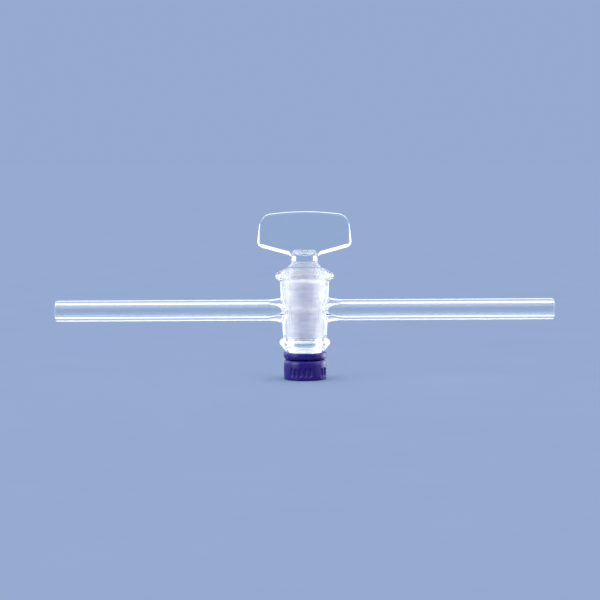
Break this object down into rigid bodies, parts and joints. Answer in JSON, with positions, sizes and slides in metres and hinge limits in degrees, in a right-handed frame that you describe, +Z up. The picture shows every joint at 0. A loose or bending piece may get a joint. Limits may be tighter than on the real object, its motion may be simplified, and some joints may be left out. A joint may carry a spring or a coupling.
{
  "type": "glass stopcock",
  "caption": "Straight-bore glass stopcock: a solid glass key with a flat handle turns in a ground barrel on a straight tube, held by a ribbed nut.",
  "frame": {"origin": "middle of the retaining nut's flat foot, on the key's axis", "axes": "+Z up along the key's axis towards the handle, X along the two side tubes"},
  "size_m": [0.19, 0.0226, 0.0641],
  "materials": {
    "barrel_glass": "clear fire-polished borosilicate glass, with a white ground band inside the barrel",
    "key_glass": "clear pressed glass handle, with a white ground cone",
    "keeper_washer": "smooth dark violet-blue plastic",
    "keeper_nut": "moulded dark violet-blue plastic, semi-gloss",
    "seal_rubber": "black rubber, matt"
  },
  "bodies": {
    "barrel": {"barrel": "barrel_glass", "left_tube": "barrel_glass", "right_tube": "barrel_glass"},
    "key": {"key": "key_glass"},
    "seal": {"washer": "keeper_washer", "o_ring": "seal_rubber"},
    "nut": {"retaining_nut": "keeper_nut"}
  },
  "joints": [
    {"name": "key_turn", "type": "hinge", "parent": "barrel", "child": "key", "pos_m": [0, 0, 0.0265], "axis": [0, 0, 1], "continuous": true},
    {"name": "seal_travel", "type": "slide", "parent": "key", "child": "seal", "axis": [0, 0, -1], "range_m": [0, 0.003]},
    {"name": "nut_turn", "type": "hinge", "parent": "seal", "child": "nut", "pos_m": [0, 0, 0], "axis": [0, 0, -1], "range_deg": [0, 720]}
  ],
  "couplings": [
    {"joint": "nut_turn", "follows": "seal_travel", "rad_per_m": 4188.8}
  ]
}
